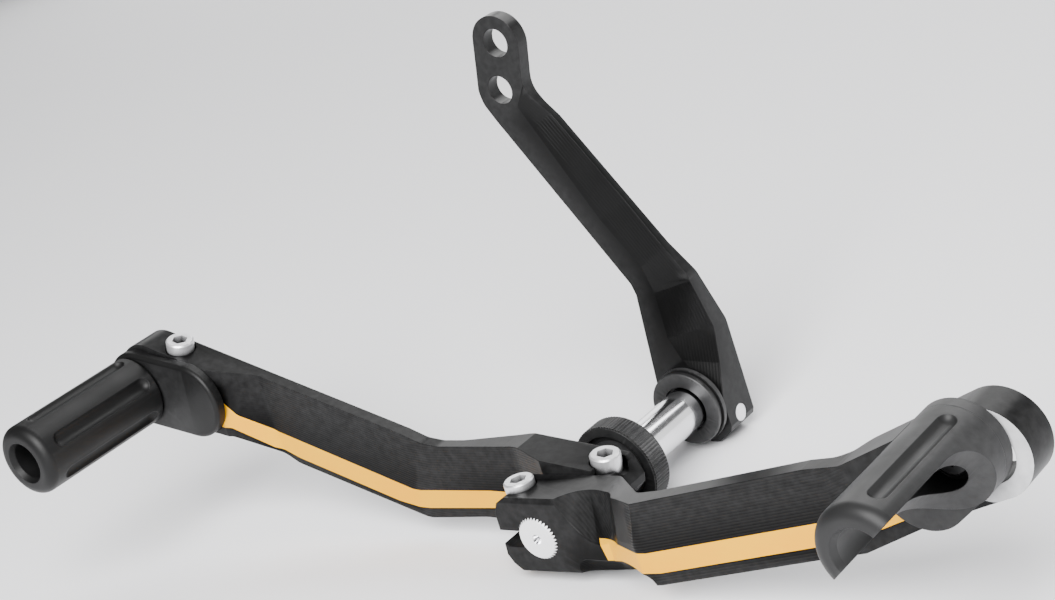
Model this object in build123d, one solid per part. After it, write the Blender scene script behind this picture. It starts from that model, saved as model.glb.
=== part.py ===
from build123d import *
from math import atan2, cos, degrees, hypot, pi, radians, sin, tan
import os

# Heel-and-toe gear shifter of a motorcycle, in millimetres.
# The shaft runs along Y. -Y is the rider's side, +X points to the heel peg,
# -X to the toe peg, +Z up. The origin is the middle of the shaft's bare journal.

# ---- pivot shaft -------------------------------------------------------------------
SHAFT_R = 7.5
SHAFT_FRONT = -68.65
SHAFT_END_CHAMFER = 0.9
SHAFT_BACK = 40.0
TOOTH_COUNT = 36
TOOTH_DEPTH = 0.85
FRONT_TEETH_END = -37.0
BACK_TEETH_START = 24.0
CENTRE_DRILL_R = 1.7
SCREW_GROOVE_R = 4.7
SCREW_GROOVE_W = 6.8
TOOTH_GAP = 0.05
RUNNING_GAP = 0.05

# ---- M6 screws ---------------------------------------------------------------------
M6_R = 3.0
M6_HEAD_R = 5.0
M6_HEAD_H = 6.0
M6_HOLE_R = 3.1
COUNTERBORE_R = 5.5
HEX_ACROSS = 5.0
HEX_DEPTH = 3.0
LOW_HEAD_H = 2.0
BUTTON_R = 5.3
BUTTON_H = 3.0

# ---- heel lever --------------------------------------------------------------------
HEEL_Y0 = -68.0
HEEL_Y1 = -52.2
HEEL_WEB_Y0 = -76.0
HEEL_WEB_Y1 = -70.2
HEEL_END_Y1 = -64.0
HEEL_TOP = 13.7
HEEL_RING = (168.5, 38.2)
HEEL_PIVOT = (151.2, 31.3)
HEEL_PEG = (164.1, 41.5)
HEEL_PLATE_Y0 = -81.0
HEEL_PLATE_Y1 = -77.0
HEEL_PEG_END = -131.8
HEEL_PEG_WALL = -86.0
HEEL_PEG_COVE_R = 15.0
HEEL_FLUTE_ANGLE = 72.5
HEEL_PEG_WEB = 1.6
HEEL_SCREW_X = -8.0
HEEL_SCREW_Y = -60.0
HEEL_SCREW_TOP = 16.3

# ---- toe lever ---------------------------------------------------------------------
TOE_Y0 = -51.5
TOE_Y1 = -37.0
TOE_WEB_Y0 = -46.0
TOE_WEB_Y1 = -41.4
TOE_END_Y0 = -54.0
TOE_END_Y1 = -41.6
TOE_RING = (-177.6, 49.4)
TOE_WINDOW_R = 6.5
TOE_PIVOT = (-156.1, 41.3)
TOE_PEG = (-180.8, 46.6)
TOE_PLATE_Y0 = -58.2
TOE_PLATE_Y1 = -54.2
TOE_PEG_END = -113.5
TOE_SCREW_TOP = (15.8, -44.0, 17.4)
TOE_SCREW_TILT = 10.5
TOE_LOCK_TOP = (-161.0, -47.8, 61.4)
TOE_ARM_SLOPE = 20.1

# ---- ends, plates and pegs ---------------------------------------------------------
END_R = 13.1
TOE_PLATE_R = 14.2
TOE_PLATE_ROUND = 1.5
HEEL_PLATE_R = 13.1
HEEL_WINDOW_R = 8.5
STUB_R = 6.0
STUB_BORE_R = 6.05
PEG_R = 13.1
PEG_BORE_R = 6.8
PEG_TIP_ROUND = 3.6
PEG_DISH_R = 7.8
PEG_DISH_DEPTH = 2.0
FLUTE_COUNT = 6
FLUTE_R = 3.2
FLUTE_DEPTH = 1.9
STRIP_DEPTH = 1.4

# ---- bearing parts on the journal --------------------------------------------------
COLLAR_Y0 = -25.4
COLLAR_Y1 = -16.9
COLLAR_R = 16.0
COLLAR_RECESS_R = 12.6
COLLAR_WEB_Y0 = -20.4
KNURL_COUNT = 88
KNURL_DEPTH = 0.35
SPACER_R = 10.4
SPACER_END = -22.6
SEAL_Y0 = 17.4
SEAL_Y1 = 21.6
SEAL_FRONT_R = 13.2
SEAL_BACK_R = 13.65
SEAL_GROOVE_R = 11.6
SEAL_LIP_R = 8.3
WASHER_R = 11.6

# ---- shift arm ---------------------------------------------------------------------
ARM_Y0 = 24.0
ARM_Y1 = 38.5
TAB_Y1 = 29.1
TAB_R = 9.5
ROD_HOLE_R = 5.0
ROD_UPPER = (-36.6, 133.3)
ROD_LOWER = (-41.1, 117.1)
ARM_SCREW_Y = 31.3
ARM_SCREW_Z = -8.2
ARM_SCREW_HEAD_X = -15.8
ARM_SCREW_TIP_X = 11.3


# ---- shape helpers -----------------------------------------------------------------
def on_side(y):
    """Plane at a given Y, its local x along +X and its local y along +Z."""
    return Plane(origin=(0, y, 0), x_dir=(1, 0, 0), z_dir=(0, -1, 0))


def outline(points):
    """A closed face from (a, b) corners, or (a, b, r) corners rounded with radius r."""
    corners = []
    count = len(points)
    for i in range(count):
        here = Vector(points[i][0], points[i][1])
        r = points[i][2] if len(points[i]) > 2 else 0
        if r == 0:
            corners.append((here, here, here))
            continue
        back = Vector(points[i - 1][0], points[i - 1][1]) - here
        ahead = Vector(points[(i + 1) % count][0], points[(i + 1) % count][1]) - here
        half = radians(back.get_angle(ahead)) / 2
        back, ahead = back.normalized(), ahead.normalized()
        middle = here + (back + ahead).normalized() * (r / sin(half) - r)
        corners.append((here + back * (r / tan(half)), middle, here + ahead * (r / tan(half))))
    edges = []
    for i in range(count):
        start, middle, end = corners[i]
        if (end - start).length > 0:
            edges.append(ThreePointArc(start, middle, end))
        following = corners[(i + 1) % count][0]
        if (following - end).length > 1e-6:
            edges.append(Line(end, following))
    return make_face(edges)


def side(points, y0, y1):
    """An outline in X and Z, as a slab between two Y levels."""
    return extrude(on_side(y1) * outline(points), amount=y1 - y0)


def plan(points, z0=-60.0, z1=160.0):
    """An outline in X and Y, as a slab between two Z levels."""
    return extrude(Pos(0, 0, z0) * outline(points), amount=z1 - z0)


def section(points, x0=-80.0, x1=60.0):
    """An outline in Y and Z, as a slab between two X levels."""
    plane = Plane(origin=(x0, 0, 0), x_dir=(0, 1, 0), z_dir=(1, 0, 0))
    return extrude(plane * outline(points), amount=x1 - x0)


def disc(centre, r, y0, y1):
    """A round slab about an axis along Y."""
    return extrude(on_side(y1) * (Pos(*centre) * Circle(r)), amount=y1 - y0)


def rod(start, direction, r, length):
    """A cylinder from a start point along a direction."""
    return extrude(Plane(origin=start, z_dir=direction) * Circle(r), amount=length)


def toothed(r, depth, count, y0, y1):
    """A bar along Y with straight V teeth around it."""
    points = []
    for i in range(count):
        tip = 2 * pi * i / count
        root = tip + pi / count
        points.append((r * cos(tip), r * sin(tip)))
        points.append(((r - depth) * cos(root), (r - depth) * sin(root)))
    return side(points, y0, y1)


def one(shape):
    """The largest solid of a shape, so that no crumb is left beside it."""
    return max(shape.solids(), key=lambda solid: solid.volume)


def socket_screw(top, direction, length):
    """M6 socket screw: top is the middle of its head's top, direction points down it."""
    down = Vector(*direction).normalized()
    top = Vector(*top)
    head_plane = Plane(origin=top, z_dir=down)
    head = extrude(head_plane * Circle(M6_HEAD_R), amount=M6_HEAD_H)
    rim = head.faces().sort_by(lambda f: (f.center() - top).length)[0].edges()
    head = chamfer(rim, 0.5)
    shank = rod(top + down * M6_HEAD_H, down, M6_R, length)
    socket = extrude(head_plane * RegularPolygon(HEX_ACROSS / 2, 6, major_radius=False), amount=HEX_DEPTH)
    return one(head + shank - socket)


def socket_screw_hole(top, direction, length):
    """The space that a socket screw needs: a counterbore above a clearance hole."""
    down = Vector(*direction).normalized()
    top = Vector(*top)
    bore = rod(top - down * 10, down, COUNTERBORE_R, 10 + M6_HEAD_H)
    hole = rod(top, down, M6_HOLE_R, M6_HEAD_H + length)
    return bore + hole


def low_screw(centre, seat_y, head_h, head_r, length, facing):
    """A low-headed M6 screw along Y. facing is -1 for a head towards -Y, +1 towards +Y."""
    x, z = centre
    head = disc(centre, head_r, min(seat_y, seat_y + facing * head_h), max(seat_y, seat_y + facing * head_h))
    head = chamfer(head.faces().sort_by(Axis.Y)[0 if facing < 0 else -1].edges(), 0.6)
    shank = disc(centre, M6_R, min(seat_y, seat_y - facing * length), max(seat_y, seat_y - facing * length))
    outer = Plane(origin=(x, seat_y + facing * head_h, z), z_dir=(0, -facing, 0))
    socket = extrude(outer * RegularPolygon(2.0, 6, major_radius=False), amount=head_h * 0.7)
    return one(head + shank - socket)


def bonded_strip(body, band):
    """The coloured strip in a lever's front: the band's share of the body's front skin."""
    skin = body - Pos(0, STRIP_DEPTH, 0) * body
    return one(skin & band)


# ---- shaft and bearing parts -------------------------------------------------------
def pivot_shaft():
    shaft = disc((0, 0), SHAFT_R, FRONT_TEETH_END, BACK_TEETH_START)
    shaft += toothed(SHAFT_R, TOOTH_DEPTH, TOOTH_COUNT, SHAFT_FRONT, FRONT_TEETH_END)
    shaft += toothed(SHAFT_R, TOOTH_DEPTH, TOOTH_COUNT, BACK_TEETH_START, SHAFT_BACK)
    for y in (HEEL_SCREW_Y, ARM_SCREW_Y):
        y0 = y - SCREW_GROOVE_W / 2
        groove = disc((0, 0), SHAFT_R + 1, y0, y0 + SCREW_GROOVE_W)
        shaft -= groove - disc((0, 0), SCREW_GROOVE_R, y0, y0 + SCREW_GROOVE_W)
    # The chamfer at the outer end runs through the teeth
    r = SHAFT_R - SHAFT_END_CHAMFER
    corner = Polyline((r, SHAFT_FRONT, 0), (r + 2, SHAFT_FRONT, 0), (r + 2, SHAFT_FRONT + 2, 0), close=True)
    shaft -= revolve(make_face(corner), axis=Axis.Y)
    drill = Plane(origin=(0, SHAFT_FRONT, 0), z_dir=(0, 1, 0))
    shaft -= extrude(drill * Circle(CENTRE_DRILL_R), amount=2.6, taper=28)
    return one(shaft)


def knurled_collar():
    collar = toothed(COLLAR_R, KNURL_DEPTH, KNURL_COUNT, COLLAR_Y0 + 0.6, COLLAR_Y1 - 0.6)
    collar += disc((0, 0), COLLAR_R - KNURL_DEPTH - 0.1, COLLAR_Y0, COLLAR_Y1)
    collar -= disc((0, 0), COLLAR_RECESS_R, COLLAR_Y0, COLLAR_WEB_Y0)
    collar -= disc((0, 0), SHAFT_R + RUNNING_GAP, COLLAR_WEB_Y0, COLLAR_Y1)
    return one(collar)


def collar_seal():
    seal = disc((0, 0), COLLAR_RECESS_R, COLLAR_WEB_Y0 - 1.9, COLLAR_WEB_Y0)
    return one(seal - disc((0, 0), SHAFT_R + RUNNING_GAP, COLLAR_WEB_Y0 - 1.9, COLLAR_WEB_Y0))


def spacer_sleeve():
    sleeve = disc((0, 0), SPACER_R, TOE_Y1, SPACER_END)
    sleeve = chamfer(sleeve.faces().sort_by(Axis.Y)[-1].edges(), 0.8)
    return one(sleeve - disc((0, 0), SHAFT_R + TOOTH_GAP, TOE_Y1, SPACER_END))


def seal_ring():
    ring = disc((0, 0), SEAL_FRONT_R, SEAL_Y0, SEAL_Y0 + 1.3)
    ring = chamfer(ring.faces().sort_by(Axis.Y)[0].edges(), 0.3)
    ring += disc((0, 0), SEAL_GROOVE_R, SEAL_Y0 + 1.3, SEAL_Y1 - 1.5)
    ring += disc((0, 0), SEAL_BACK_R, SEAL_Y1 - 1.5, SEAL_Y1)
    ring -= disc((0, 0), SEAL_LIP_R, SEAL_Y0, SEAL_Y0 + 1.6)
    ring -= disc((0, 0), SHAFT_R + RUNNING_GAP, SEAL_Y0 + 1.6, SEAL_Y1)
    return one(ring)


def seal_ring_o_ring():
    y = SEAL_Y0 + 2.0
    cord = Plane(origin=(SEAL_GROOVE_R + 0.65, y, 0), x_dir=(1, 0, 0), z_dir=(0, 0, 1)) * Circle(0.65)
    return one(revolve(cord, axis=Axis((0, y, 0), (0, 1, 0))))


def thrust_washer():
    washer = disc((0, 0), WASHER_R, SEAL_Y1 + 0.15, ARM_Y0)
    return one(washer - disc((0, 0), SHAFT_R + TOOTH_GAP, SEAL_Y1, ARM_Y0))


# ---- heel lever --------------------------------------------------------------------
def heel_lever_solid():
    """The lever before its strip is let in: side outline and plan outline, intersected."""
    outline_side = side([
        (-9.5, HEEL_TOP), (-12.6, 12.0), (-14.5, 8.4), (-14.8, 2.4), (-14.8, -2.4), (-15.2, -6.5),
        (-13.6, -9.6), (-10.8, -12.1), (14.7, -11.4, 6), (35.0, -9.6, 20), (50.4, -8.4, 20), (108.8, 3.8),
        (125.2, 7.0, 4), (150.0, 18.0), (173.7, 26.2), HEEL_RING, (163.3, 50.2), (124.0, 33.4, 6),
        (112.0, 32.0), (50.4, 19.2), (27.0, 14.2, 12),
    ], -90, -40) + disc(HEEL_RING, END_R, -90, -40)
    back_curve = [
        (200, HEEL_END_Y1), (129, HEEL_END_Y1, 6), (120, HEEL_WEB_Y1, 6), (56, HEEL_WEB_Y1, 8),
        (46, HEEL_WEB_Y1 + 1.6, 8), (27, HEEL_Y1, 4), (-30, HEEL_Y1),
    ]
    outline_plan = plan([(-30, HEEL_Y0), (28.2, HEEL_Y0), (45.0, HEEL_WEB_Y0, 3), (200, HEEL_WEB_Y0)] + back_curve)
    lever = outline_side & outline_plan
    # Scoop that runs up and back from the boss's front face, left by a large ball cutter
    lever -= rod((25.6, HEEL_Y0 - 15.0, 0.0), (-1.6, 4.2, 9.0), 14.0, 30)
    lever -= heel_jog()
    # Cove along the boss's lower front edge, and the bevel along its upper front edge
    cove_y, cove_z, cove_r = HEEL_Y0 - 4.8, -10.3, 6.2
    lever -= rod((17.2, cove_y, cove_z), (1, 0, 0), cove_r, 26.8)
    lever -= Pos(17.2, cove_y, cove_z) * Sphere(cove_r)
    lever -= Pos(44.0, cove_y, cove_z) * Sphere(cove_r)
    lever -= section([(HEEL_Y0 - 1, HEEL_TOP - 4.0), (HEEL_Y0 + 1.4, HEEL_TOP + 2.0),
                      (HEEL_Y0 - 1, HEEL_TOP + 2.0)], -20, 14)
    # The shaft's toothed bore, the clamp's slit, its screw
    lever -= toothed(SHAFT_R + TOOTH_GAP, TOOTH_DEPTH, TOOTH_COUNT, HEEL_Y0 - 1, HEEL_Y1 + 1)
    lever -= side([(-20, 2.3), (-4, 2.3), (-4, -3.5), (-13.2, -3.6), (-14.8, -2.5), (-20, -2.5)], -69, -51)
    lever -= socket_screw_hole((HEEL_SCREW_X, HEEL_SCREW_Y, HEEL_SCREW_TOP), (0, 0, -1), 24)
    # Round window at the end, pivot bore of the peg's plate, threaded hole of its set screw
    lever -= disc(HEEL_RING, HEEL_WINDOW_R, -80, -60)
    lever -= disc(HEEL_PIVOT, STUB_BORE_R, -80, -60)
    lever -= rod((HEEL_PIVOT[0], -70, HEEL_PIVOT[1]), (0.396, 0, -0.918), M6_R, 20)
    return one(lever)


def heel_jog():
    """The slanted front of the jog between boss and web: it leans back towards the top."""
    slices = []
    for z, start, end in ((-20.0, (28.0, 0.0), (45.0, -8.0)), (1.8, (27.8, 0.0), (43.9, -8.0)),
                          (19.0, (28.0, 5.0), (48.4, -8.0))):
        slope = (end[1] - start[1]) / (end[0] - start[0])
        far = (56.0, end[1] + slope * (56.0 - end[0]))
        corners = [start, far, (56.0, -30.0), (start[0], -30.0)]
        slices.append(make_face(Polyline(*[(x, HEEL_Y0 + y, z) for x, y in corners], close=True)))
    return loft(slices[:2], ruled=True) + loft(slices[1:], ruled=True)


def heel_band():
    return side([
        (24.2, 0.9), (48.6, 2.3), (118.0, 16.9), (124.5, 18.4, 4), (134.5, 22.6), (139.8, 17.8), (125.0, 11.9, 4),
        (109.2, 7.9), (51.9, -4.2), (36.0, -5.6), (25.6, -6.3),
    ], -90, -40)


def heel_set_screw():
    """Grub screw from below that locks the plate's stub in the lever."""
    direction = Vector(0.396, 0, -0.918).normalized()
    start = Vector(HEEL_PIVOT[0], -70, HEEL_PIVOT[1]) + direction * (STUB_R + 0.15)
    screw = rod(start, direction, M6_R - 0.02, 6.0)
    hexagon = Plane(origin=start + direction * 6.0, z_dir=-direction)
    return one(screw - extrude(hexagon * RegularPolygon(1.5, 6, major_radius=False), amount=2.6))


# ---- toe lever ---------------------------------------------------------------------
def toe_lever_solid():
    outline_side = side([
        (-17.0, 20.0), (17.5, 14.4), (19.5, 14.0), (20.8, 12.4), (22.8, 6.9), (22.1, 4.1), (18.5, 0.9),
        (18.5, -1.1), (22.0, -4.2), (21.0, -9.6), (17.5, -12.6), (2.0, -13.8), (-12.0, -12.6, 8),
        (-39.0, -6.8, 30), (-68.8, -8.5, 12), (-124.3, 11.1, 10), (-140.3, 22.1), (-145.0, 25.3, 4),
        (-155.3, 27.6), (-182.2, 37.2), TOE_RING, (-173.1, 61.7),
        (-68.7, 23.6), (-61.0, 20.2, 10), (-54.0, 19.1, 10), (-24.5, 19.7),
    ], -90, -20) + disc(TOE_RING, END_R, -90, -20)
    outline_plan = plan([
        (-210, TOE_END_Y0), (-146.5, TOE_END_Y0), (-130.0, TOE_WEB_Y0, 6), (-20.0, TOE_WEB_Y0, 10),
        (-5.4, TOE_Y0), (40, TOE_Y0), (40, TOE_Y1), (-19, TOE_Y1, 6), (-45, TOE_WEB_Y1, 10),
        (-210, TOE_WEB_Y1),
    ])
    lever = outline_side & outline_plan
    # The shaft's toothed bore, the clamp's slit, its screw
    lever -= toothed(SHAFT_R + TOOTH_GAP, TOOTH_DEPTH, TOOTH_COUNT, TOE_Y0 - 1, TOE_Y1 + 1)
    lever -= side([(4, 0.9), (30, 0.9), (30, -1.1), (4, -1.1)], TOE_Y0 - 1, TOE_Y1 + 1)
    lever -= socket_screw_hole(TOE_SCREW_TOP, tilted_down(TOE_SCREW_TILT), 20)
    # The counterbore is milled longer, towards the clamp's mouth
    wider = Vector(*TOE_SCREW_TOP) + Vector(cos(radians(TOE_SCREW_TILT)), 0, -sin(radians(TOE_SCREW_TILT))) * 2.2
    lever -= rod(wider, tilted_down(TOE_SCREW_TILT), COUNTERBORE_R - 0.6, M6_HEAD_H)
    lever -= side([(14.6, 22), (14.6, 12.6), (26, 12.6), (26, 22)], TOE_Y0 - 1, TOE_SCREW_TOP[1])
    # Round window and pivot bore at the end, the slit between them, its pinch screw
    lever -= disc(TOE_RING, TOE_WINDOW_R, -70, -30)
    lever -= disc(TOE_PIVOT, STUB_BORE_R, -70, -30)
    lever -= side(slot_points(TOE_PIVOT, TOE_RING, 1.2), -70, -30)
    lever -= socket_screw_hole(TOE_LOCK_TOP, tilted_down(TOE_ARM_SLOPE), 21)
    return one(lever)


def tilted_down(angle):
    """Downwards, leaning towards -X by an angle."""
    return (-sin(radians(angle)), 0, -cos(radians(angle)))


def slot_points(start, end, width):
    """The corners of a straight slot between two points."""
    length = hypot(end[0] - start[0], end[1] - start[1])
    nx = -(end[1] - start[1]) / length * width / 2
    nz = (end[0] - start[0]) / length * width / 2
    return [(start[0] + nx, start[1] + nz), (end[0] + nx, end[1] + nz),
            (end[0] - nx, end[1] - nz), (start[0] - nx, start[1] - nz)]


def toe_band():
    return side([
        (-147.0, 44.5), (-143.2, 36.8), (-141.0, 32.8, 4), (-129.2, 23.6), (-119.8, 20.1), (-72.2, 2.5, 6),
        (-68.8, 2.1), (-36.6, 3.1), (-14.0, 2.4), (-15.4, -4.2), (-36.7, -3.4), (-67.0, -4.7), (-71.8, -4.5, 6),
        (-80.6, -2.4), (-123.2, 13.2), (-132.6, 17.9), (-144.6, 28.7, 4), (-154.0, 31.0),
    ], -90, -20)


# ---- plates and pegs ---------------------------------------------------------------
def adjuster_plate(pivot, peg, lobe_r, y0, y1, stub_end, step, rounding):
    """Two-lobed plate with a pivot stub behind one lobe and the peg's screw in the other."""
    length = hypot(peg[0] - pivot[0], peg[1] - pivot[1])
    angle = degrees(atan2(peg[1] - pivot[1], peg[0] - pivot[0]))
    middle = ((pivot[0] + peg[0]) / 2, (pivot[1] + peg[1]) / 2)
    slot = Pos(*middle) * Rot(0, 0, angle) * SlotCenterToCenter(length, 2 * lobe_r)
    plate = extrude(on_side(y1) * slot, amount=y1 - y0)
    if rounding > 0:
        plate = fillet(plate.faces().sort_by(Axis.Y)[0].edges(), rounding)
    plate += disc(pivot, STUB_R, y1, stub_end)
    if step > 0:
        plate += disc(pivot, STUB_R + 3.0, y1, y1 + step)
    plate -= disc(pivot, M6_R, stub_end - 8, stub_end)
    plate -= disc(peg, M6_R, y0, y1)
    return one(plate)


def flutes(peg, r, depth, y0, y1, first, count):
    """Round-ended grooves along a peg, 60 degrees apart."""
    tools = []
    for i in range(count):
        angle = radians(first + 60 * i)
        reach = PEG_R + r - depth
        x = peg[0] + reach * cos(angle)
        z = peg[1] + reach * sin(angle)
        tools.append(disc((x, z), r, y0, y1))
        tools.append(Pos(x, y0, z) * Sphere(r))
        tools.append(Pos(x, y1, z) * Sphere(r))
    return tools


def peg_blank(peg, base_y, end_y, web):
    """A round peg with a rounded, dished free end, bored down to a web at its base."""
    body = disc(peg, PEG_R, end_y, base_y)
    body = fillet(body.faces().sort_by(Axis.Y)[0].edges(), PEG_TIP_ROUND)
    mouth = Plane(origin=(peg[0], end_y, peg[1]), z_dir=(0, 1, 0))
    dish = loft([mouth * Circle(PEG_DISH_R), mouth.offset(PEG_DISH_DEPTH) * Circle(PEG_BORE_R)])
    body -= dish
    body -= disc(peg, PEG_BORE_R, end_y, base_y - web)
    body -= disc(peg, M6_HOLE_R, base_y - web, base_y)
    return body


def toe_peg():
    body = peg_blank(TOE_PEG, TOE_PLATE_Y0, TOE_PEG_END, 4.0)
    # Narrow neck where the peg meets its plate
    base = disc(TOE_PEG, PEG_R + 1, TOE_PLATE_Y0 - 1.2, TOE_PLATE_Y0)
    body -= base - disc(TOE_PEG, PEG_R - 1.2, TOE_PLATE_Y0 - 1.2, TOE_PLATE_Y0)
    for tool in flutes(TOE_PEG, FLUTE_R, FLUTE_DEPTH, TOE_PEG_END + 9.8, TOE_PLATE_Y0 - 6.4, 22, FLUTE_COUNT):
        body -= tool
    return one(body)


def heel_peg():
    """As the toe peg, but half of it cut away lengthwise in front of the end wall."""
    body = peg_blank(HEEL_PEG, HEEL_PLATE_Y0, HEEL_PEG_END, HEEL_PEG_WEB)
    for tool in flutes(HEEL_PEG, 3.0, 1.7, HEEL_PEG_END + 9.0, HEEL_PEG_WALL - 1.6, HEEL_FLUTE_ANGLE, 3):
        body -= tool
    cut_plane = Plane(origin=(HEEL_PEG[0], HEEL_PEG_WALL, HEEL_PEG[1]),
                      x_dir=(0.647, 0, -0.763), z_dir=(0, -1, 0))
    cutter = extrude(cut_plane * (Pos(15 - 0.6, 0) * Rectangle(30, 40)), amount=60)
    corner = [e for e in cutter.edges()
              if abs(cut_plane.to_local_coords(e.center()).X + 0.6) < 0.01
              and abs(cut_plane.to_local_coords(e.center()).Z) < 0.01]
    cutter = fillet(corner, HEEL_PEG_COVE_R)
    return one(body - cutter)


# ---- shift arm ---------------------------------------------------------------------
def shift_arm_solid():
    ux, uz = 0.268, 0.963
    left_top = (ROD_UPPER[0] - TAB_R * uz, ROD_UPPER[1] + TAB_R * ux)
    right_top = (ROD_UPPER[0] + TAB_R * uz, ROD_UPPER[1] - TAB_R * ux)
    right_low = (ROD_LOWER[0] + TAB_R * uz, ROD_LOWER[1] - TAB_R * ux)
    outline_side = side([
        (-14.3, 6.8), (-11.2, 40.0), (-12.0, 44.0, 6), (-47.1, 106.6), (-50.3, 112.9, 8), (-50.7, 117.6, 6),
        left_top, ROD_UPPER, right_top, (right_low[0] + 0.4, right_low[1] + 1.5, 10), (10.2, 45.0, 5),
        (11.3, 22.0), (11.5, -10.0), (10.7, -12.0), (5.0, -15.7), (-10.5, -15.7), (-14.6, -12.0),
        (-15.0, -2.0),
    ], ARM_Y0, ARM_Y1) + disc(ROD_UPPER, TAB_R, ARM_Y0, ARM_Y1)
    depth_profile = section([
        (ARM_Y0, -20), (ARM_Y1, -20), (ARM_Y1, 24.0, 4), (31.8, 45.5, 6), (30.4, 56.0), (30.2, 104.0, 6),
        (TAB_Y1, 110.0, 6), (TAB_Y1, 160), (ARM_Y0, 160),
    ])
    arm = outline_side & depth_profile
    arm -= arm_relief()
    arm -= toothed(SHAFT_R + TOOTH_GAP, TOOTH_DEPTH, TOOTH_COUNT, ARM_Y0 - 1, ARM_Y1 + 1)
    arm -= Pos(-1.0, 0, 0) * side([(0, -4), (2, -4), (2, -20), (0, -20)], ARM_Y0 - 1, ARM_Y1 + 1)
    arm -= socket_screw_hole((ARM_SCREW_HEAD_X, ARM_SCREW_Y, ARM_SCREW_Z), (1, 0, 0), 30)
    arm -= disc(ROD_UPPER, ROD_HOLE_R, ARM_Y0 - 1, ARM_Y1)
    arm -= disc(ROD_LOWER, ROD_HOLE_R, ARM_Y0 - 1, ARM_Y1)
    return one(arm)


def arm_relief():
    """The long bevelled relief in the arm's front, from its inner line to its rear edge."""
    stations = [
        ((-36.0, 110.5), (-31.3, 117.0), 0.3), ((-32.2, 102.5), (-24.9, 106.7), 3.6),
        ((-16.2, 67.9), (-6.1, 73.7), 3.6), ((-5.3, 50.1), (4.2, 55.6), 3.0),
        ((-3.2, 40.5), (10.4, 43.0), 3.0), ((-3.6, 23.7), (11.4, 24.5), 7.0),
        ((-0.3, 15.2), (11.5, 12.0), 4.2), ((6.0, 5.0), (11.6, 1.0), 0.4),
    ]
    faces = []
    for inner, outer, depth in stations:
        a = Vector(inner[0], ARM_Y0, inner[1])
        b = Vector(outer[0], ARM_Y0 + depth, outer[1])
        start = a - (b - a) * 0.25
        end = b + (b - a) * 0.4
        corner = Vector(end.X, start.Y - 2.0, end.Z)
        faces.append(make_face(Polyline(start, end, corner, close=True)))
    return loft(faces, ruled=True)


# ---- every node --------------------------------------------------------------------
def save(name, shape):
    shape.label = name
    export_step(shape, "parts/" + name + ".step")
    size = shape.bounding_box().size
    print(f"{name:26s} volume {shape.volume:10.1f}  {size.X:7.2f} {size.Y:7.2f} {size.Z:7.2f}")


def main():
    os.makedirs("parts", exist_ok=True)
    save("pivot_shaft", pivot_shaft())
    save("knurled_collar", knurled_collar())
    save("collar_seal", collar_seal())
    save("spacer_sleeve", spacer_sleeve())
    save("seal_ring", seal_ring())
    save("seal_ring_o_ring", seal_ring_o_ring())
    save("thrust_washer", thrust_washer())

    heel = heel_lever_solid()
    heel_strip = bonded_strip(heel, heel_band())
    save("heel_lever", one(heel - heel_strip))
    save("heel_lever_strip", heel_strip)
    save("heel_clamp_screw", socket_screw((HEEL_SCREW_X, HEEL_SCREW_Y, HEEL_SCREW_TOP), (0, 0, -1), 20.0))
    save("heel_plate_set_screw", heel_set_screw())

    toe = toe_lever_solid()
    toe_strip = bonded_strip(toe, toe_band())
    save("toe_lever", one(toe - toe_strip))
    save("toe_lever_strip", toe_strip)
    save("toe_clamp_screw", socket_screw(TOE_SCREW_TOP, tilted_down(TOE_SCREW_TILT), 19.0))
    save("toe_plate_pinch_screw", socket_screw(TOE_LOCK_TOP, tilted_down(TOE_ARM_SLOPE), 20.0))

    save("heel_peg_plate", adjuster_plate(HEEL_PIVOT, HEEL_PEG, HEEL_PLATE_R, HEEL_PLATE_Y0, HEEL_PLATE_Y1,
                                          HEEL_END_Y1 + 0.1, 0.85, 0))
    save("heel_peg", heel_peg())
    save("heel_peg_screw", low_screw(HEEL_PEG, HEEL_PLATE_Y0 - HEEL_PEG_WEB, LOW_HEAD_H, 5.0, 5.0, -1))
    washer = disc(HEEL_PIVOT, 8.5, HEEL_END_Y1 + 0.1, HEEL_END_Y1 + 1.7)
    save("heel_pivot_washer", one(washer - disc(HEEL_PIVOT, M6_HOLE_R, HEEL_END_Y1, HEEL_END_Y1 + 2)))
    save("heel_pivot_screw", low_screw(HEEL_PIVOT, HEEL_END_Y1 + 1.7, BUTTON_H, BUTTON_R, 8.5, 1))

    save("toe_peg_plate", adjuster_plate(TOE_PIVOT, TOE_PEG, TOE_PLATE_R, TOE_PLATE_Y0, TOE_PLATE_Y1,
                                         TOE_WEB_Y1 + 0.1, 0, TOE_PLATE_ROUND))
    save("toe_peg", toe_peg())
    save("toe_peg_screw", low_screw(TOE_PEG, TOE_PLATE_Y0 - 4.0, 4.0, 5.0, 7.5, -1))
    washer = disc(TOE_PIVOT, 8.5, TOE_WEB_Y1 + 0.1, TOE_WEB_Y1 + 1.7)
    save("toe_pivot_washer", one(washer - disc(TOE_PIVOT, M6_HOLE_R, TOE_WEB_Y1, TOE_WEB_Y1 + 2)))
    save("toe_pivot_screw", low_screw(TOE_PIVOT, TOE_WEB_Y1 + 1.7, BUTTON_H, BUTTON_R, 8.5, 1))

    save("shift_arm", shift_arm_solid())
    length = ARM_SCREW_TIP_X - ARM_SCREW_HEAD_X - M6_HEAD_H
    save("shift_arm_clamp_screw", socket_screw((ARM_SCREW_HEAD_X, ARM_SCREW_Y, ARM_SCREW_Z), (1, 0, 0), length))


main()
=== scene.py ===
import bpy
from mathutils import Matrix, Vector


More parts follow.
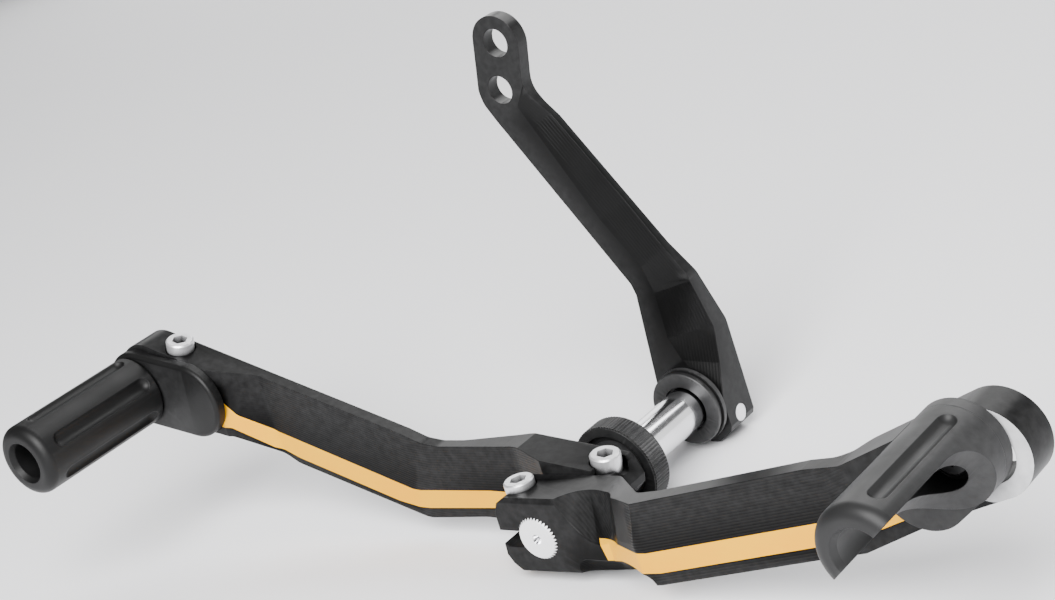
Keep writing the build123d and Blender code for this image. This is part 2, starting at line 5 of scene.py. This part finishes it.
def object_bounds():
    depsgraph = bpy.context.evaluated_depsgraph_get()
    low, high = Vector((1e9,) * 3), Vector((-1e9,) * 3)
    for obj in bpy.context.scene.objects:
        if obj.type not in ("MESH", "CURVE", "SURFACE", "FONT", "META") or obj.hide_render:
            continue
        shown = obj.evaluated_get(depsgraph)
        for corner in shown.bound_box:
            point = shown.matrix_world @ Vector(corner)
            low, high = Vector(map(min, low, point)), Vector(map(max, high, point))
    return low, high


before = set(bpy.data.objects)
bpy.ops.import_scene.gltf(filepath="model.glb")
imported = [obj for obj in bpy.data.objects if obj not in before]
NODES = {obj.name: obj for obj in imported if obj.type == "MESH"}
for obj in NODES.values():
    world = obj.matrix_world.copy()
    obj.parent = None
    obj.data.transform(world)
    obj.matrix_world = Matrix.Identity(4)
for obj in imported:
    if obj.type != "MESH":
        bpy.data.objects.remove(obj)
START_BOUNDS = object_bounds()


# ---- shader helpers ----------------------------------------------------------------
class Shader:
    """A procedural material, built from small named steps."""

    def __init__(self, name):
        self.mat = bpy.data.materials.new(name)
        self.mat.use_nodes = True
        self.tree = self.mat.node_tree
        self.tree.nodes.clear()
        self.bsdf = self.tree.nodes.new("ShaderNodeBsdfPrincipled")
        out = self.tree.nodes.new("ShaderNodeOutputMaterial")
        self.tree.links.new(self.bsdf.outputs["BSDF"], out.inputs["Surface"])
        coords = self.tree.nodes.new("ShaderNodeTexCoord")
        self.point = coords.outputs["Object"]
        split = self.tree.nodes.new("ShaderNodeSeparateXYZ")
        self.tree.links.new(self.point, split.inputs[0])
        self.x, self.y, self.z = split.outputs
        geometry = self.tree.nodes.new("ShaderNodeNewGeometry")
        facing = self.tree.nodes.new("ShaderNodeSeparateXYZ")
        self.tree.links.new(geometry.outputs["True Normal"], facing.inputs[0])
        self.nx, self.ny, self.nz = facing.outputs
        self.pointiness = geometry.outputs["Pointiness"]
        self.normal = None

    def link(self, value, socket):
        if isinstance(value, bpy.types.NodeSocket):
            self.tree.links.new(value, socket)
        else:
            socket.default_value = value

    def math(self, operation, a, b=0.0, c=0.0):
        node = self.tree.nodes.new("ShaderNodeMath")
        node.operation = operation
        for socket, value in zip(node.inputs, (a, b, c)):
            self.link(value, socket)
        return node.outputs[0]

    def noise(self, scale, detail=3.0, stretch=(1, 1, 1)):
        mapping = self.tree.nodes.new("ShaderNodeMapping")
        mapping.inputs["Scale"].default_value = stretch
        self.tree.links.new(self.point, mapping.inputs["Vector"])
        node = self.tree.nodes.new("ShaderNodeTexNoise")
        node.inputs["Scale"].default_value = scale
        node.inputs["Detail"].default_value = detail
        self.tree.links.new(mapping.outputs[0], node.inputs["Vector"])
        return node.outputs[0]

    def ramp(self, value, low, high, out_low=0.0, out_high=1.0):
        node = self.tree.nodes.new("ShaderNodeMapRange")
        node.interpolation_type = "SMOOTHSTEP"
        for name, v in (("From Min", low), ("From Max", high), ("To Min", out_low), ("To Max", out_high)):
            node.inputs[name].default_value = v
        self.link(value, node.inputs["Value"])
        return node.outputs[0]

    def mix(self, factor, a, b):
        node = self.tree.nodes.new("ShaderNodeMix")
        node.data_type = "RGBA"
        self.link(factor, node.inputs[0])
        self.link(a, node.inputs[6])
        self.link(b, node.inputs[7])
        return node.outputs[2]

    def blend(self, factor, a, b):
        node = self.tree.nodes.new("ShaderNodeMix")
        node.data_type = "FLOAT"
        self.link(factor, node.inputs[0])
        self.link(a, node.inputs[2])
        self.link(b, node.inputs[3])
        return node.outputs[0]

    def round_edges(self, radius):
        node = self.tree.nodes.new("ShaderNodeBevel")
        node.samples = 6
        node.inputs["Radius"].default_value = radius
        self.normal = node.outputs[0]

    def bump(self, height, distance, strength=1.0):
        node = self.tree.nodes.new("ShaderNodeBump")
        node.inputs["Distance"].default_value = distance
        node.inputs["Strength"].default_value = strength
        self.link(height, node.inputs["Height"])
        if self.normal is not None:
            self.tree.links.new(self.normal, node.inputs["Normal"])
        self.normal = node.outputs[0]

    def done(self, color, roughness, metallic=0.0, **more):
        self.link(color, self.bsdf.inputs["Base Color"])
        self.link(roughness, self.bsdf.inputs["Roughness"])
        self.link(metallic, self.bsdf.inputs["Metallic"])
        for name, value in more.items():
            self.link(value, self.bsdf.inputs[name.replace("_", " ")])
        if self.normal is not None:
            self.tree.links.new(self.normal, self.bsdf.inputs["Normal"])
        return self.mat

    def openness(self, reach):
        """1 on open faces, lower in recesses and corners; used to paint shade into colours."""
        node = self.tree.nodes.new("ShaderNodeAmbientOcclusion")
        node.samples = 8
        node.inputs["Distance"].default_value = reach
        return node.outputs["AO"]

    def worn_edges(self, amount=0.5):
        """1 on sharp outer edges, broken up by noise."""
        edge = self.ramp(self.pointiness, 0.53, 0.60)
        return self.math("MULTIPLY", self.math("MULTIPLY", edge, self.noise(420.0)), amount)


def gray(v):
    """A gray with a trace of blue."""
    return (v, v, v * 1.02, 1.0)


# ---- milled black anodised levers --------------------------------------------------
CUTTER_PITCH = 0.00095
SCOOP_PITCH = 0.00105
HEEL_RING = (0.1685, 0.0382)
HEEL_RING_FACE_R = 0.0138
NO_MATT = 0.0


def polyline_height(s, corners):
    """The height of a bent line above each x, as a sum of slopes that start at its corners."""
    (x0, z0), (x1, z1) = corners[0], corners[1]
    slope = (z1 - z0) / (x1 - x0)
    total = s.math("MULTIPLY_ADD", s.x, slope, z0 - slope * x0)
    for i in range(1, len(corners) - 1):
        (x0, z0), (x1, z1) = corners[i], corners[i + 1]
        following = (z1 - z0) / (x1 - x0)
        past = s.math("MAXIMUM", s.math("SUBTRACT", s.x, x0), 0.0)
        total = s.math("MULTIPLY_ADD", past, following - slope, total)
        slope = following
    return total


def cutter_lines(s, across, pitch=CUTTER_PITCH):
    """Scallops left by a ball cutter at a pitch across a direction: 0 in the valleys, 1 on the crests."""
    phase = s.math("FRACT", s.math("DIVIDE", across, pitch))
    centred = s.math("SUBTRACT", phase, 0.5)
    return s.math("MULTIPLY", s.math("MULTIPLY", centred, centred), 4.0)


def all_of(s, *factors):
    """The product of several masks."""
    total = factors[0]
    for factor in factors[1:]:
        total = s.math("MULTIPLY", total, factor)
    return total


def milled_black(name, lines_of, depth, level, gloss, painted_reflection_of=None):
    """lines_of gives the cutter's lines and where they are matt; the last argument gives where a lighter
    grey is painted in as a bright reflection.
    """
    s = Shader(name)
    s.round_edges(0.00035)
    lines, matt = lines_of(s)
    s.bump(lines, depth, 0.9)
    s.bump(s.noise(1500.0, 2.0), 0.00002, 0.4)
    base = s.mix(s.ramp(s.noise(35.0), 0.3, 0.7), gray(level), gray(level * 1.5))
    color = s.mix(s.worn_edges(0.28), base, gray(0.08))
    rough = s.math("ADD", s.ramp(s.noise(90.0), 0.3, 0.7, 0.29, 0.32), s.math("MULTIPLY", lines, 0.06))
    rough = s.math("MULTIPLY_ADD", matt, 0.30, rough)
    if painted_reflection_of is not None:
        # Painted reflection: a lighter grey over the black where the ring's front face shows a bright
        # reflection.
        reflection_mask = painted_reflection_of(s)
        painted_reflection_gray = s.mix(s.ramp(s.noise(260.0), 0.3, 0.7), gray(0.42), gray(0.52))
        color = s.mix(reflection_mask, color, painted_reflection_gray)
    return s.done(color, rough, 0.0, Specular_IOR_Level=gloss)


def heel_lines(s):
    """Fine passes along the web, and coarser slanted ones in the scoop beside the boss."""
    centre = polyline_height(s, [(0.02, 0.002), (0.048, 0.006), (0.118, 0.0206), (0.17, 0.042)])
    web = all_of(s, cutter_lines(s, s.math("SUBTRACT", s.z, centre)), s.ramp(s.ny, -0.35, -0.55),
                 s.ramp(s.x, 0.0425, 0.0450), s.ramp(s.x, 0.127, 0.124), s.ramp(s.y, -0.0686, -0.0690))
    slant = s.math("ADD", s.math("MULTIPLY", s.x, 0.75), s.math("MULTIPLY", s.z, 0.66))
    scoop = all_of(s, s.ramp(s.y, -0.0679, -0.0676), s.ramp(s.ny, -0.15, -0.25), s.ramp(s.x, 0.0310, 0.0295),
                   s.ramp(s.x, 0.0095, 0.0105), s.ramp(s.nz, 0.75, 0.65))
    return s.math("ADD", web, all_of(s, cutter_lines(s, slant, SCOOP_PITCH), scoop, 0.8)), scoop


def heel_ring_painted_reflection(s):
    """The ring's front face, where a lighter grey is painted in as the bright reflection it shows."""
    across = s.math("POWER", s.math("SUBTRACT", s.x, HEEL_RING[0]), 2.0)
    upward = s.math("POWER", s.math("SUBTRACT", s.z, HEEL_RING[1]), 2.0)
    reach = s.math("SQRT", s.math("ADD", across, upward))
    face = s.ramp(reach, HEEL_RING_FACE_R + 0.0001, HEEL_RING_FACE_R - 0.0001)
    return all_of(s, face, s.ramp(s.ny, -0.90, -0.97), s.ramp(s.y, -0.0757, -0.0759))


def toe_lines(s):
    """Passes along the web, which bends once."""
    centre = polyline_height(s, [(-0.18, 0.048), (-0.0690, 0.0075), (-0.06, 0.0062), (-0.01, 0.0062)])
    return all_of(s, cutter_lines(s, s.math("SUBTRACT", s.z, centre)), s.ramp(s.y, -0.0508, -0.0500),
                  s.ramp(s.ny, -0.35, -0.55)), NO_MATT


def arm_lines(s):
    """Passes along the relief: slanted up the arm, upright beside its boss."""
    slanted = s.math("ADD", s.math("MULTIPLY", s.x, 0.869), s.math("MULTIPLY", s.z, 0.494))
    across = s.blend(s.ramp(s.z, 0.0432, 0.0442), s.math("ADD", s.x, 0.0222), slanted)
    relief = s.ramp(s.y, 0.0243, 0.0247)
    return all_of(s, cutter_lines(s, across), relief, s.ramp(s.ny, -0.5, -0.7)), NO_MATT


LEVER_HEEL = milled_black("milled_black_heel", heel_lines, 0.00010, 0.0008, 0.09, heel_ring_painted_reflection)
LEVER_TOE = milled_black("milled_black_toe", toe_lines, 0.00004, 0.0008, 0.09)
LEVER_ARM = milled_black("milled_black_arm", arm_lines, 0.00004, 0.0020, 0.18)


# ---- other finishes ----------------------------------------------------------------
def blasted_black(name, level):
    """Matt black, with shade painted darker down its bores."""
    s = Shader(name)
    s.round_edges(0.0004)
    s.bump(s.noise(2600.0, 2.0), 0.00002, 0.6)
    base = s.mix(s.ramp(s.noise(28.0), 0.3, 0.7), gray(level), gray(level * 1.5))
    color = s.mix(s.worn_edges(0.3), base, gray(level * 1.5 + 0.08))
    # Painted shade: near black in bores and recesses, from the ambient occlusion reading.
    color = s.mix(s.ramp(s.openness(0.014), 0.15, 0.55), gray(0.0005), color)
    rough = s.ramp(s.noise(70.0), 0.3, 0.7, 0.42, 0.52)
    return s.done(color, rough, 0.0, Specular_IOR_Level=0.26)


def turned_black():
    """Black with the fine rings of a lathe round the shaft's axis."""
    s = Shader("turned_black")
    s.round_edges(0.00015)
    rings = s.noise(900.0, 1.0, (0.02, 1.0, 0.02))
    s.bump(rings, 0.00003, 0.5)
    base = s.mix(s.ramp(s.noise(60.0), 0.3, 0.7), gray(0.004), gray(0.007))
    color = s.mix(s.worn_edges(0.4), base, gray(0.12))
    return s.done(color, s.ramp(rings, 0.3, 0.7, 0.32, 0.44), 0.0, Specular_IOR_Level=0.36)


def gold():
    """Gold anodising with a fine grain along the strip."""
    s = Shader("gold_anodised")
    s.round_edges(0.0002)
    grain = s.noise(1400.0, 2.0, (0.05, 1.0, 1.0))
    s.bump(grain, 0.00001, 0.4)
    base = s.mix(s.ramp(s.noise(40.0), 0.25, 0.75), (1.0, 0.45, 0.0, 1), (1.0, 0.50, 0.0, 1))
    return s.done(base, s.ramp(grain, 0.3, 0.7, 0.40, 0.50), 0.45, Specular_IOR_Level=0.1)


def stainless(name, reach):
    """Satin stainless steel, with shade painted dark into recesses narrower than about the reach."""
    s = Shader(name)
    s.round_edges(0.00025)
    grain = s.noise(1800.0, 2.0)
    s.bump(grain, 0.00002, 0.5)
    base = s.mix(s.ramp(s.noise(300.0), 0.3, 0.7), gray(0.80), gray(0.92))
    # Painted shade: sockets and narrow recesses turned near black.
    outside_painted_shade = s.ramp(s.openness(reach), 0.35, 0.85)
    color = s.mix(outside_painted_shade, gray(0.03), base)
    return s.done(color, s.ramp(grain, 0.3, 0.7, 0.30, 0.42), 0.75)


def ground_steel():
    """A bright ground journal with a matt faced end, and shade painted dark into its tooth gaps."""
    s = Shader("ground_steel")
    s.round_edges(0.0001)
    rings = s.noise(2200.0, 2.0, (0.01, 1.0, 0.01))
    s.bump(rings, 0.00001, 0.35)
    base = s.mix(s.ramp(s.noise(50.0), 0.3, 0.7), gray(0.80), gray(0.88))
    faced = s.ramp(s.ny, -0.55, -0.68)
    rough = s.blend(faced, s.ramp(rings, 0.3, 0.7, 0.12, 0.22), 0.5)
    # Painted shade: tooth gaps and other narrow recesses turned dark.
    color = s.mix(s.ramp(s.openness(0.0015), 0.45, 0.80), gray(0.05), base)
    return s.done(color, rough, s.blend(faced, 1.0, 0.20))


def black_oxide():
    s = Shader("black_oxide")
    s.round_edges(0.0002)
    grain = s.noise(1500.0, 2.0)
    s.bump(grain, 0.00001, 0.4)
    base = s.mix(s.ramp(s.noise(200.0), 0.3, 0.7), gray(0.02), gray(0.035))
    return s.done(base, s.ramp(grain, 0.3, 0.7, 0.30, 0.42), 0.7)


def rubber(name, level):
    s = Shader(name)
    s.bump(s.noise(1200.0, 2.0), 0.00002, 0.5)
    base = s.mix(s.ramp(s.noise(120.0), 0.3, 0.7), gray(level), gray(level * 1.6))
    return s.done(base, s.ramp(s.noise(300.0), 0.3, 0.7, 0.55, 0.7), 0.0)


def dress(mat, *names):
    for name in names:
        NODES[name].data.materials[0] = mat


dress(LEVER_HEEL, "heel_lever")
dress(LEVER_TOE, "toe_lever")
dress(LEVER_ARM, "shift_arm")
dress(blasted_black("blasted_black_pegs", 0.010), "heel_peg", "heel_peg_plate")
dress(blasted_black("blasted_black_toe", 0.003), "toe_peg", "toe_peg_plate")
dress(turned_black(), "knurled_collar", "seal_ring", "spacer_sleeve")
dress(gold(), "heel_lever_strip", "toe_lever_strip")
dress(stainless("stainless_heads", 0.004), "heel_clamp_screw", "toe_clamp_screw", "toe_plate_pinch_screw")
dress(stainless("stainless_tip", 0.0005), "shift_arm_clamp_screw")
dress(ground_steel(), "pivot_shaft")
dress(black_oxide(), "heel_plate_set_screw", "heel_peg_screw", "heel_pivot_washer", "heel_pivot_screw",
      "toe_peg_screw", "toe_pivot_washer", "toe_pivot_screw")
dress(rubber("seal_rubber", 0.008), "collar_seal", "seal_ring_o_ring")
dress(rubber("washer_plastic", 0.012), "thrust_washer")


# ---- floor and light ---------------------------------------------------------------
low = Vector(START_BOUNDS[0])
high = Vector(START_BOUNDS[1])
middle = (low + high) / 2
FLOOR_HALF_WIDTH = 6.0
FLOOR_GAP = 0.0005


def floor():
    """A plain pale floor, just under the object."""
    mesh = bpy.data.meshes.new("floor")
    r = FLOOR_HALF_WIDTH
    z = low.z - FLOOR_GAP
    mesh.from_pydata([(-r, -r, z), (r, -r, z), (r, r, z), (-r, r, z)], [], [(0, 1, 2, 3)])
    obj = bpy.data.objects.new("floor", mesh)
    bpy.context.scene.collection.objects.link(obj)
    s = Shader("floor_white")
    s.done(s.mix(s.noise(2.0), gray(0.90), gray(0.93)), 0.9, 0.0, Specular_IOR_Level=0.0)
    mesh.materials.append(s.mat)


def area_light(name, position, target, size, power):
    data = bpy.data.lights.new(name, "AREA")
    data.shape = "RECTANGLE"
    data.size, data.size_y = size
    data.energy = power
    obj = bpy.data.objects.new(name, data)
    direction = Vector(target) - Vector(position)
    obj.location = position
    obj.rotation_euler = direction.to_track_quat("-Z", "Y").to_euler()
    obj.visible_camera = False
    bpy.context.scene.collection.objects.link(obj)


def world_light():
    world = bpy.data.worlds.new("studio")
    world.use_nodes = True
    back = world.node_tree.nodes["Background"]
    back.inputs["Color"].default_value = (1.0, 1.0, 1.0, 1)
    back.inputs["Strength"].default_value = 0.17
    bpy.context.scene.world = world


floor()
world_light()
area_light("key", (0.55, -1.05, 1.0), middle, (1.1, 1.1), 72)
area_light("back_left", (-1.35, 1.45, 0.65), middle, (1.1, 1.0), 9.0)
area_light("back_top", (-0.1, 1.35, 1.45), middle, (1.5, 1.1), 30)
area_light("back_right", (1.5, 1.4, 0.4), middle, (1.3, 0.9), 5.0)


# ---- camera ------------------------------------------------------------------------
LENS = 71.66
CAMERA_POSITION = (0.4283, -0.4835, 0.2682)
CAMERA_RIGHT = (0.7511, 0.5862, -0.3035)
CAMERA_UP = (0.0270, 0.4320, 0.9014)


def camera():
    data = bpy.data.cameras.new("camera")
    data.lens = LENS
    data.sensor_width = 36.0
    data.clip_start = 0.01
    data.clip_end = 30.0
    data.dof.use_dof = False
    obj = bpy.data.objects.new("camera", data)
    right = Vector(CAMERA_RIGHT)
    up = Vector(CAMERA_UP)
    back = right.cross(up).normalized()
    up = back.cross(right).normalized()
    turn = Matrix((right.normalized(), up, back)).transposed().to_4x4()
    obj.matrix_world = Matrix.Translation(CAMERA_POSITION) @ turn
    bpy.context.scene.collection.objects.link(obj)
    bpy.context.scene.camera = obj


camera()
